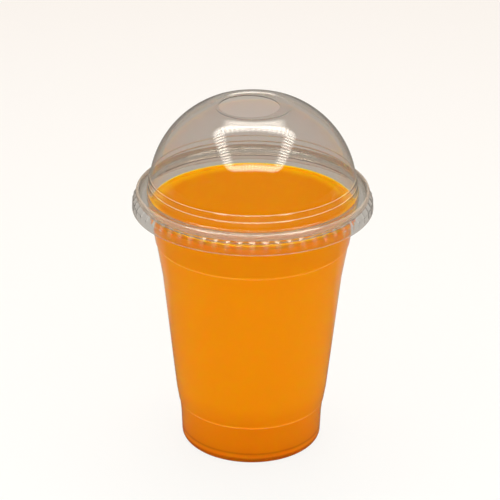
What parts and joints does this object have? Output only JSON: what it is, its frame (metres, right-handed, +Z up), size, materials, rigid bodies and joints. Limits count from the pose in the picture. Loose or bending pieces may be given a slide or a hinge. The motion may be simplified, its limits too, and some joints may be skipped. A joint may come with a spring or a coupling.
{
  "type": "plastic cup with lid",
  "caption": "Clear tapered takeaway cup with a rolled rim and raised floor, filled with a drink and closed by a pressed-on dome lid with a round straw hole.",
  "frame": {"origin": "on the cup's axis, in the plane that the foot ring stands on", "axes": "+Z up along the cup's axis, +X to the right as the picture shows the cup, -Y towards the viewer"},
  "size_m": [0.1, 0.1, 0.1511],
  "materials": {
    "cup": "clear thermoformed sheet, glossy",
    "lid": "clear thermoformed sheet, glossy",
    "drink": "clear orange liquid with a still surface"
  },
  "bodies": {
    "cup": {"cup": "cup", "drink": "drink"},
    "lid": {"lid": "lid"}
  },
  "joints": [
    {"name": "lid_lift", "type": "slide", "parent": "cup", "child": "lid", "axis": [0, 0, 1], "range_m": [0, 0.05]}
  ]
}
